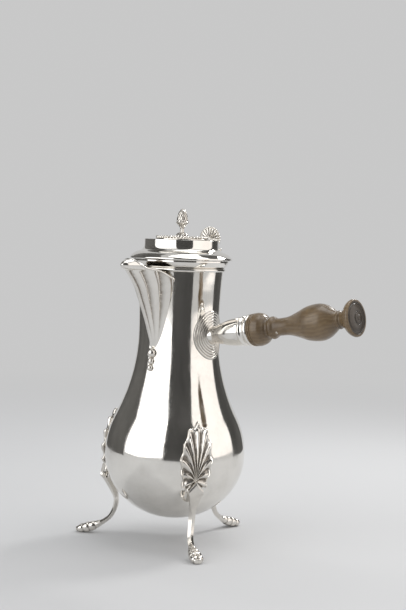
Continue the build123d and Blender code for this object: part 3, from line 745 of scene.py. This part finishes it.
# leg stations from the knee to the toe: reach, height, width, thickness, share of the flat front
leg_rows = flowing(
    [
        (54.3, 54.6, 11.2, 3.6, 0.93), (53.9, 50.0, 11.6, 4.6, 0.93), (52.3, 45.5, 9.8, 5.0, 0.91),
        (49.7, 40.5, 7.9, 4.8, 0.88), (47.1, 35.5, 6.5, 4.4, 0.78), (45.4, 31.0, 5.6, 4.1, 0.36),
        (44.7, 27.0, 5.2, 3.8, 0.05), (45.7, 20.5, 4.9, 3.6, 0.04), (48.9, 14.0, 4.5, 3.4, 0.04),
        (54.0, 9.6, 4.6, 3.6, 0.04), (57.6, 7.6, 5.6, 5.0, 0.2), (61.6, 5.7, 7.4, 6.6, 0.3),
        (66.0, 4.3, 8.8, 7.4, 0.3), (70.0, 3.3, 9.2, 6.4, 0.3), (73.4, 2.5, 8.6, 5.0, 0.3),
        (75.3, 2.2, 5.4, 3.4, 0.3),
    ],
    each=9,
)
knee_rows = 0.17  # share of the rows over which the knee's pointed top evens out
knee_point = 6.2  # how far the knee's point stands above its shoulders


def draw_leg(azimuth, lean):
    """A cabriole leg: a pointed flat shield at the knee, an edge down the shin, a rolled hoof."""
    out_way = Vector((cos(azimuth), sin(azimuth), 0))
    side_way = Vector((-sin(azimuth), cos(azimuth), 0))

    def place(u, v):
        share = min(max((v - 0.02) / 0.96, 0.0), 1.0)
        row = along(leg_rows, share)
        ahead, behind = along(leg_rows, share + 0.01), along(leg_rows, share - 0.01)
        face = out_way * (behind[1] - ahead[1]) + Vector((0, 0, ahead[0] - behind[0]))
        face.normalize()
        reach, height, width, thick, front = row
        hoof = smoothstep(55.0, 60.0, reach) * (share > 0.5)
        # facets: flat front, two slanting cheeks and a narrower back
        corners = [(-front, 1), (front, 1), (1, 0.1), (0.5, -1), (-0.5, -1), (-1, 0.1), (-front, 1)]
        side = min(int(u * 6), 5)
        start, end = Vector(corners[side]), Vector(corners[side + 1])
        spot = start.lerp(end, u * 6 - side)
        angle = atan2(spot.y, spot.x)
        round_x = copysign(abs(cos(angle)) ** 0.7, cos(angle))
        round_y = copysign(abs(sin(angle)) ** 0.8, sin(angle))
        spot = spot.lerp(Vector((round_x, round_y)), hoof)
        hollow = 0.0
        swelling = 1.0
        if hoof > 0:
            wave = 1 - 2 * (1 - abs(sin((reach - 55.4) * pi / 4.7))) ** 1.6
            swelling = 0.95 + 0.07 * hoof * wave
            cleft = exp(-((spot.x / 0.16) ** 2)) * smoothstep(67, 71, reach) * (spot.y > 0)
            spot.y *= 1 - 0.3 * cleft
            hollow = max(hoof * max(0, -wave) * 0.8, 0.8 * cleft)
        if v in (0, 1):
            spot = Vector((0.0, -0.2)) if v else Vector((spot.x, -1.0))
        point = out_way * reach + Vector((0, 0, height)) + side_way * lean * value_at(leg_leans, height)
        point += side_way * spot.x * width / 2 * swelling + face * spot.y * thick / 2 * swelling
        point.z -= knee_point * abs(spot.x) * (1 - smoothstep(0, knee_rows, share))
        point.z = max(point.z, 0.0)
        return point, hollow

    return surface(48, 170, place, merge=1e-3)


for name, azimuth in leg_azimuths.items():
    shell = draw_shell(azimuth, shell_leans[name])
    finished(shell, f"shell_{name}", "pot", [f"palmette_{name}"], cast_silver)
    leg = draw_leg(azimuth, name == "front")
    finished(leg, f"cabriole_{name}", "pot", [f"leg_{name}"], cast_silver, bevel=0.22)

# ---- handle
plate_half_height, plate_half_width = 18.2, 15.8
outer_reed, reed_pitch = 17.0, 1.95


def draw_escutcheon(u, v):
    """An oval plate wrapped on the neck: ridges inside a rolled border, and a boss under the socket."""
    turn = 2 * pi * u
    radius = plate_half_height * (1 - v)
    ridge = abs(cos(pi * (radius - outer_reed) / reed_pitch)) ** 0.7
    rise = 1.0 + 1.5 * (1 - radius / plate_half_height) + 0.62 * (ridge - 1)
    hollow = 0.9 * (1 - ridge) ** 2
    if v == 0:
        rise, hollow = -0.4, 1.0
    across = radius * cos(turn) * plate_half_width / plate_half_height
    z = plate_z + radius * sin(turn)
    return on_skin(asin(max(-0.99, min(0.99, across / skin(z)))), z, rise), hollow


plate_z = handle_z + neck_r * sin(handle_tilt) / cos(handle_tilt)
escutcheon = surface(128, 150, draw_escutcheon, merge=1e-3)
finished(escutcheon, "reeded_plate", "pot", ["handle_escutcheon"], cast_silver)

# reach along the handle and radius
socket_bell = flowing(
    [(33.0, 6.6), (36.0, 6.45), (40.6, 7.6), (44.2, 8.5), (49.7, 9.8), (56.8, 10.5), (60.6, 10.4)], 7
)
socket_line = [
    (31.0, 2.5), (31.5, 6.8),
    *socket_bell,
    *arc((60.8, 10.35), (63.0, 10.35), 1.25, 8)[1:],
    *arc((63.2, 10.1), (65.6, 10.2), -2.2, 8),
    *arc((66.0, 10.9), (69.2, 11.3), 2.0, 10),
    (69.2, 8.05), (57.4, 8.05), (57.4, 2.5),
]
socket_outline = [(radius, reach) for reach, radius in socket_line]
socket = moved(turned(eased(socket_outline, 0.2), 128, closed=True), handle_place)
finished(socket, "handle_socket_bell", "pot", ["handle_socket"], sheet_silver)

grip_line = [
    (57.3, 2.5), (57.3, 7.9), (69.25, 7.9), (69.25, 10.9),
    *flowing([(69.4, 11.3), (70.0, 11.75), (70.7, 11.5)], 5),
    (70.95, 11.0),
    *flowing([(71.1, 11.4), (71.7, 11.9), (72.4, 11.6)], 5),
    (72.6, 11.2),
    *flowing([(72.9, 11.6), (74.6, 12.0), (78.6, 10.9), (81.1, 8.5)], 7),
    (81.6, 7.6),
    *arc((81.7, 7.3), (84.7, 6.9), -1.9, 8),
    *flowing([(84.9, 7.2), (86.0, 8.1), (87.2, 8.0), (88.6, 7.2)], 5),
    (89.0, 6.75),
    *flowing(
        [
            (89.6, 6.6), (91.8, 6.25), (100.2, 6.7), (108.6, 9.2), (116.7, 12.1),
            (124.8, 13.1), (130.2, 12.1), (134.7, 9.6), (138.4, 6.9), (140.2, 5.9),
        ],
        8,
    ),
    *flowing([(140.5, 6.0), (141.4, 6.5), (142.4, 6.1)], 4),
    *flowing(
        [
            (142.9, 5.6), (144.4, 6.0), (147.0, 8.0), (150.2, 11.6),
            (152.6, 13.0), (154.0, 12.95), (154.6, 12.4),
        ],
        6,
    ),
    (154.4, 11.2), (153.9, 10.9), (153.95, 10.2), (154.5, 9.7),
    *flowing([(154.7, 9.4), (155.4, 7.2), (155.7, 5.0)], 4),
    (155.3, 4.7), (155.4, 4.2),
    *flowing([(155.9, 4.0), (156.2, 3.0), (156.3, 2.1)], 3),
    (156.7, 1.8), (156.7, 0.0),
]
grip_outline = [(radius, reach) for reach, radius in grip_line]
grip = moved(turned(eased(grip_outline[:-1], 0.16) + [Vector(grip_outline[-1])], 112), handle_place)
bmesh.ops.holes_fill(grip, edges=[e for e in grip.edges if e.is_boundary])
finished(grip, "wooden_grip", "pot", ["handle_grip"], handle_wood)

# ---- lid
cove_end = (27.8, 222.3)
cove_start = (27.8 + 0.72 * 4.2, 222.3 - 0.96 * 4.2)
lid_outer = [
    (38.2, lid_seat),
    (38.2, lid_seat + 1.3),
    *arc((38.2, lid_seat + 1.3), cove_start, -14.0, 18),
    *arc(cove_start, cove_end, 4.2, 12)[1:],
    (27.8, lid_top),
    (7.0, lid_top),
    (7.0, lid_top - 0.9),
    (26.9, lid_top - 0.9),
    (26.9, 222.0),
    *arc((26.9, 222.0), (cove_start[0] - 0.6, cove_start[1] - 0.75), -5.1, 8)[1:],
    *arc((cove_start[0] - 0.6, cove_start[1] - 0.75), (37.3, lid_seat + 1.1), 13.1, 12)[1:],
    (37.3, lid_seat),
]
lid_shape = turned(eased(lid_outer, 0.28), 208, closed=True)
finished(lid_shape, "lid_shell", "lid", ["lid"], sheet_silver)

bezel = [(29.4, 206.65), (30.15, 206.6), (30.2, lid_seat), (37.3, lid_seat), (37.3, 213.0), (29.4, 213.0)]
bezel_shape = turned(eased(bezel, 0.2), 160, closed=True)
finished(bezel_shape, "lid_seat_ring", "lid", ["lid_bezel"], sheet_silver)

# ---- stirrer cover
disc_edge = eased([(0, cover_base), (16.92, cover_base), (16.95, cover_top)], 0.1)
disc = turned([*disc_edge, (16.6, cover_top), (8.0, cover_top), (0, cover_top)], 128)
finished(disc, "cover_plate", "cover", ["cover_disc"], sheet_silver)

strip = [
    (16.95, cover_base),
    (19.45, cover_base),
    (19.45, cover_base + 0.6),
    (19.2, cover_base + 0.8),
    (16.95, cover_base + 0.8),
]
beads = [turned(eased(strip, 0.15), 160, closed=True)]
for index in range(1, bead_count):
    turn = pi + 2 * pi * index / bead_count
    spot = (bead_ring_r * cos(turn), bead_ring_r * sin(turn), cover_base + bead_r + 0.15)
    beads.append(ball(spot, 0.97 * bead_r, 1.0, 2))
finished(joined(*beads), "beaded_edge", "cover", ["bead_border"], cast_silver)

head = [(0.9, 228.05), (1.22, 228.05), (1.2, 228.5), (1.0, 229.0), (0.6, 229.25), (0, 229.32)]
tail = [(0, 224.7), (1.3, 224.75), (1.5, 225.0), (1.5, 225.45), (0.9, 225.5)]
rivet = moved(turned(tail + head, 40), Matrix.Translation((-bead_ring_r, 0, 0)))
finished(rivet, "cover_pivot", "lid", ["cover_rivet"], cast_silver)


def draw_bud(u, v):
    """The bud above its leaves: overlapping scales laid in two sets of spirals."""
    turn = 2 * pi * u
    radius, z = along(bud_line, v)[:2]
    rise = 11 * v
    scale = abs(cos(4.5 * turn + rise) * cos(4.5 * turn - rise)) ** 0.45
    shown = smoothstep(0.05, 0.2, v) * (1 - smoothstep(0.93, 1, v))
    radius *= 1 + 0.11 * (scale - 0.85) * shown
    return Vector((radius * cos(turn), radius * sin(turn), z)), 0.9 * (1 - scale) ** 1.3 * shown


def draw_calyx(u, v):
    """The fluted stem that opens into a four-cornered calyx."""
    turn = 2 * pi * u
    radius, z = along(stem_line, v)[:2]
    flare = smoothstep(0.45, 0.86, v)
    corner = abs(cos(2 * turn))
    radius *= 1 + flare * 0.16 * (corner**2 - 0.62)
    z += flare * 0.55 * (corner**3 - 0.3)
    flute = 1 - abs(cos(4 * turn))
    radius *= 1 - 0.10 * flute * (1 - flare)
    return Vector((radius * cos(turn), radius * sin(turn), z)), 0.7 * flute**2 * (1 - flare)


def draw_rosette(u, v):
    """The leafy foot round the stem: eight lobes, each with a hollow rib."""
    turn = 2 * pi * u
    lobe = abs(cos(4 * turn))
    rim = 5.2 * (0.82 + 0.18 * lobe**0.7)
    if v < 0.12:
        return Vector((rim * cos(turn), rim * sin(turn), cover_top - 0.2 + v)), 0.6
    share = (v - 0.12) / 0.88
    radius = rim * (1 - share) ** 0.6 + 1.75 * share
    z = cover_top + 0.35 + 3.9 * share**0.8 - 0.4 * (1 - lobe) * (1 - share)
    return Vector((radius * cos(turn), radius * sin(turn), z)), 0.85 * (1 - lobe) ** 1.5 + 0.3 * share


stem_line = flowing(
    [
        (1.5, 227.3), (1.5, 229.0), (1.65, 232.0), (1.5, 234.2),
        (1.75, 235.9), (2.7, 237.3), (4.2, 238.7), (5.0, 239.5),
        (4.7, 240.0), (3.5, 240.3), (0.02, 240.4),
    ],
    8,
)
bud_line = flowing(
    [
        (0.02, 239.5), (3.3, 239.6), (4.2, 240.2), (4.3, 241.2), (4.0, 242.8),
        (3.7, 244.6), (3.2, 246.2), (2.5, 247.8), (1.5, 249.1), (0.02, 249.95),
    ],
    8,
)
finial = joined(surface(64, 90, draw_calyx, 1e-2), surface(144, 84, draw_bud, 1e-2))
finished(finial, "bud_finial", "cover", ["finial"], cast_silver)
rosette = surface(96, 24, draw_rosette, 1e-3)
finished(rosette, "leafy_foot", "cover", ["finial_rosette"], cast_silver)

# ---- hinge and thumbpiece
knuckle_pitch, knuckle_long = 4.0, 3.8
lying = Matrix.Rotation(pi / 2, 4, "Y")  # lays turned work along X


def knuckle(index, bore):
    """One barrel of the hinge with softened ends, laid along X."""
    half = knuckle_long / 2
    line = [(bore, -half), (2.0, -half), (2.0, half), (bore, half)]
    shape = turned(eased(line + line[:1], 0.22)[:-1], 48, closed=True)
    middle = (index - 2) * knuckle_pitch
    return moved(shape, Matrix.Translation((middle, hinge_y, hinge_z)) @ lying)


side_on = Matrix(((0, 0, 1, 0), (1, 0, 0, 0), (0, 1, 0, 0), (0, 0, 0, 1)))  # drawn y, z; thick along x


def tongue(outline, index, width):
    """A flat part of a leaf in line with a knuckle: the middle one has the index 2."""
    middle = (index - 2) * knuckle_pitch
    return plate(outline, width, Matrix.Translation((middle, 0, 0)) @ side_on)


leaf_wide, tight_bore, loose_bore = 19.8, 0.82, 0.87
pot_strap = [(33.4, 204.9), (36.2, 204.9), (38.2, 207.0), (38.2, 211.4), (33.4, 211.4)]
pot_tab = [(37.6, 206.6), (42.3, 211.4), (42.3, 212.4), (39.6, 211.8), (37.6, 211.4)]
lid_strap = [
    (36.0, 215.2), (40.6, 214.9), (41.2, 215.5), (40.6, 216.4),
    (37.4, 218.4), (34.0, 218.4), (34.0, 216.5),
]
lid_tab = [(38.3, 213.0), (42.2, 213.0), (41.5, 215.6), (38.3, 215.6)]
pot_parts = [tongue(pot_strap, 2, leaf_wide)]
lid_parts = [tongue(lid_strap, 2, leaf_wide)]
for index in range(5):
    if index % 2:
        lid_parts += [tongue(lid_tab, index, knuckle_long), knuckle(index, loose_bore)]
    else:
        pot_parts += [tongue(pot_tab, index, knuckle_long), knuckle(index, tight_bore)]
lower, upper = joined(*pot_parts), joined(*lid_parts)
finished(lower, "lower_hinge_leaf", "pot", ["pot_hinge_leaf"], cast_silver, bevel=0.15)
finished(upper, "upper_hinge_leaf", "lid", ["lid_hinge_leaf"], cast_silver, bevel=0.15)
pin_line = eased([(0, -10.4), (0.8, -10.4), (0.8, 10.4), (0, 10.4)], 0.3)
pin = moved(turned(pin_line, 32), Matrix.Translation((0, hinge_y, hinge_z)) @ lying)
finished(pin, "hinge_pin_rod", "pot", ["hinge_pin"], cast_silver)

thumb_hub = Vector((0, 227.6))
thumb_lobes = 11
rim_beads = 17


def draw_thumb_shell(u, v):
    """A scallop shell with low ribs, thicker towards its rim and closed behind."""
    turn = (2 * u - 1) * radians(108)
    lobe = abs(cos(thumb_lobes * turn * 90 / 108))
    rim = 9.0 * (1 - 0.10 * abs(sin(turn)) ** 6)
    share = min(2 * v, 2 - 2 * v)
    shown = smoothstep(0.1, 0.4, share) * (1 - smoothstep(0.86, 0.94, share))
    rib = 0.42 * (lobe - 0.5) * shown
    y = 35.0 - rib - 0.35 * share**2 if v < 0.5 else 36.3 + 0.4 * rib
    point = Vector((rim * share * sin(turn), y, thumb_hub.y + rim * share * cos(turn)))
    return point, 0.7 * (1 - lobe) * shown


thumb = [surface(176, 40, draw_thumb_shell, 1e-3)]
for index in range(rim_beads):
    turn = radians(212) * (index / (rim_beads - 1) - 0.5)
    thumb.append(ball((8.9 * sin(turn), 35.5, thumb_hub.y + 8.9 * cos(turn)), 1.08, 1.0, 3))
stand_side = [(9.2, 218.2), (8.4, 221.6), (7.9, 224.2), (8.2, 227.4)]
stand = [(-9.2, 218.2), *stand_side, *((-x, z) for x, z in stand_side[:0:-1])]
upright = Matrix(((1, 0, 0, 0), (0, 0, 1, 35.6), (0, 1, 0, 0), (0, 0, 0, 1)))
thumb.append(plate(stand, 1.3, upright))
for side in (-1, 1):
    thumb.append(ball((side * 9.6, 35.9, 219.7), 1.25, 1.0, 3))
shelf = turned([(0, -8.6), (0.55, -8.5), (0.7, -8.0), (0.7, 8.0), (0.55, 8.5), (0, 8.6)], 20)
thumb.append(moved(shelf, Matrix.Translation((0, 35.1, 227.5)) @ lying))
finished(joined(*thumb), "scallop_thumbpiece", "lid", ["thumbpiece"], cast_silver, bevel=0.12)

# pieces that keep their drawn solids: the rod in the grip, its pin and the washer under the lid
kept_solids = {"handle_tang": inner_silver, "handle_pin": cast_silver, "cover_washer": inner_silver}
for node, finish in kept_solids.items():
    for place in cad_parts[node].material_slots:
        place.material = finish

# ---- studio
look = radians(126.47)  # the way the camera looks, seen from above
ahead, right = Vector((cos(look), sin(look), 0)), Vector((sin(look), -cos(look), 0))
paper = (0.58, 0.58, 0.58, 1)  # the pale paper of floor and backdrop


def from_view(side, near, height):
    """A place by how far right of the view it is, how near to the camera's side, and how high."""
    return right * side - ahead * near + Vector((0, 0, height))


def toward(turn, distance, height):
    """A place by its turn to the right of the camera, seen from the pot, in degrees."""
    return from_view(distance * sin(radians(turn)), distance * cos(radians(turn)), height)


def make_floor():
    """A wide sheet of pale paper: it keeps shadows near the pot and fades into the backdrop further out."""
    made, tree, place = material("pale paper")
    tone = blended(tree, ranged(tree, noise(tree, place, 2.2, 3.0), 0.3, 0.7), paper, (0.56, 0.56, 0.56, 1))
    matt = {"Base Color": tone, "Roughness": 0.7, "Specular IOR Level": 0.15}
    sheet = add(tree, "ShaderNodeBsdfPrincipled", matt)
    glow = add(tree, "ShaderNodeEmission", {"Color": paper, "Strength": 1.0})
    far = add(tree, "ShaderNodeVectorMath", {0: place}, operation="LENGTH").outputs["Value"]
    reach = {0: far, 1: 0.35, 2: 1.2}  # where the fading starts and ends
    fade = add(tree, "ShaderNodeMapRange", reach, interpolation_type="SMOOTHSTEP").outputs[0]
    ray = add(tree, "ShaderNodeLightPath").outputs
    seen = maths(tree, "MAXIMUM", ray["Is Camera Ray"], ray["Is Glossy Ray"])
    share = maths(tree, "MULTIPLY", fade, seen)
    mixed = add(tree, "ShaderNodeMixShader", {0: share, 1: sheet.outputs[0], 2: glow.outputs[0]})
    add(tree, "ShaderNodeOutputMaterial", {"Surface": mixed.outputs[0]})
    bm = bmesh.new()
    bmesh.ops.create_grid(bm, x_segments=1, y_segments=1, size=15)
    meshed(bm, "floor", made)


def make_card(name, low_turn, high_turn, distance, low, high, tone):
    """A grey curved card that stands round the table, out of sight, for the silver to reflect."""
    made, tree, place = material(name)
    dimmer = [0.5 * c for c in tone[:3]] + [1]
    cloth = blended(tree, ranged(tree, noise(tree, place, 1.6, 3.0), 0.3, 0.7), tone, dimmer)
    shaded(tree, {"Base Color": cloth, "Roughness": 0.9, "Specular IOR Level": 0.0})

    def place_card(u, v):
        return toward(low_turn + (high_turn - low_turn) * u, distance, low + (high - low) * v), 0.0

    card = meshed(surface(round((high_turn - low_turn) / 6), 2, place_card), name, made)
    card.visible_camera = card.visible_diffuse = card.visible_shadow = False


def lamp(name, turn, distance, low, high, width, power, colour=(1, 1, 1), tilted=False):
    """A soft box that stands upright and faces the pot, or tilts down to it."""
    data = bpy.data.lights.new(name, "AREA")
    data.shape, data.size, data.size_y = "RECTANGLE", width, high - low
    data.energy, data.color = power, colour
    made = linked(name, data)
    made.location = toward(turn, distance, (low + high) / 2)
    faced = Vector((0, 0, 0.12 if tilted else (low + high) / 2))
    made.rotation_euler = (faced - made.location).to_track_quat("-Z", "Y").to_euler()
    made.visible_camera = False


make_floor()
make_card("grey card behind the camera", -17, 36, 0.7, 0.0, 2.2, (0.135, 0.132, 0.127, 1))
make_card("grey card left", -150, -86, 0.62, 0.0, 1.6, (0.16, 0.157, 0.15, 1))
make_card("grey card right", 108, 150, 0.62, 0.0, 1.6, (0.15, 0.147, 0.14, 1))
lamp("white soft box", -51.5, 1.3, 0.0, 1.7, 1.75, 13)
lamp("warm soft box", 73, 1.4, 0.0, 1.7, 2.0, 7.5, (1.0, 0.92, 0.86))
lamp("key", 134, 0.58, 0.53, 0.69, 0.16, 1.9, tilted=True)
top = bpy.data.lights.new("overhead", "AREA")
top.shape, top.size, top.energy = "SQUARE", 1.6, 17
overhead = linked("overhead", top)
overhead.location = (0.3, 0.5, 2.4)
overhead.visible_camera = False

world = bpy.data.worlds.new("studio air")
bpy.context.scene.world = world
world.use_nodes = True
air = world.node_tree
air.nodes.clear()
ray = add(air, "ShaderNodeLightPath").outputs
shiny = maths(air, "MAXIMUM", ray["Is Glossy Ray"], ray["Is Transmission Ray"])
seen = maths(air, "MAXIMUM", ray["Is Camera Ray"], shiny)
plain = add(air, "ShaderNodeBackground", {"Color": (0.95, 0.97, 1.0, 1), "Strength": 0.6})
pale = add(air, "ShaderNodeBackground", {"Color": paper, "Strength": 1.0})
both = add(air, "ShaderNodeMixShader", {0: seen, 1: plain.outputs[0], 2: pale.outputs[0]})
add(air, "ShaderNodeOutputWorld", {"Surface": both.outputs[0]})

# ---- camera
eye = bpy.data.cameras.new("view")
eye.lens, eye.sensor_width = 76.94, 36.0
eye.clip_start, eye.clip_end = 0.05, 60
camera = linked("view", eye)
away, around, eye_height = 0.9759, radians(-52.5), 0.23506
camera.location = (away * cos(around), away * sin(around), eye_height)
pitch, roll = radians(-3.32), radians(1.96)
gaze = Vector((cos(look) * cos(pitch), sin(look) * cos(pitch), sin(pitch)))
upright_view = gaze.to_track_quat("-Z", "Y").to_matrix()
camera.rotation_euler = (upright_view @ Matrix.Rotation(roll, 3, "Z")).to_euler()
bpy.context.scene.camera = camera
bpy.context.scene.view_settings.view_transform = "Standard"
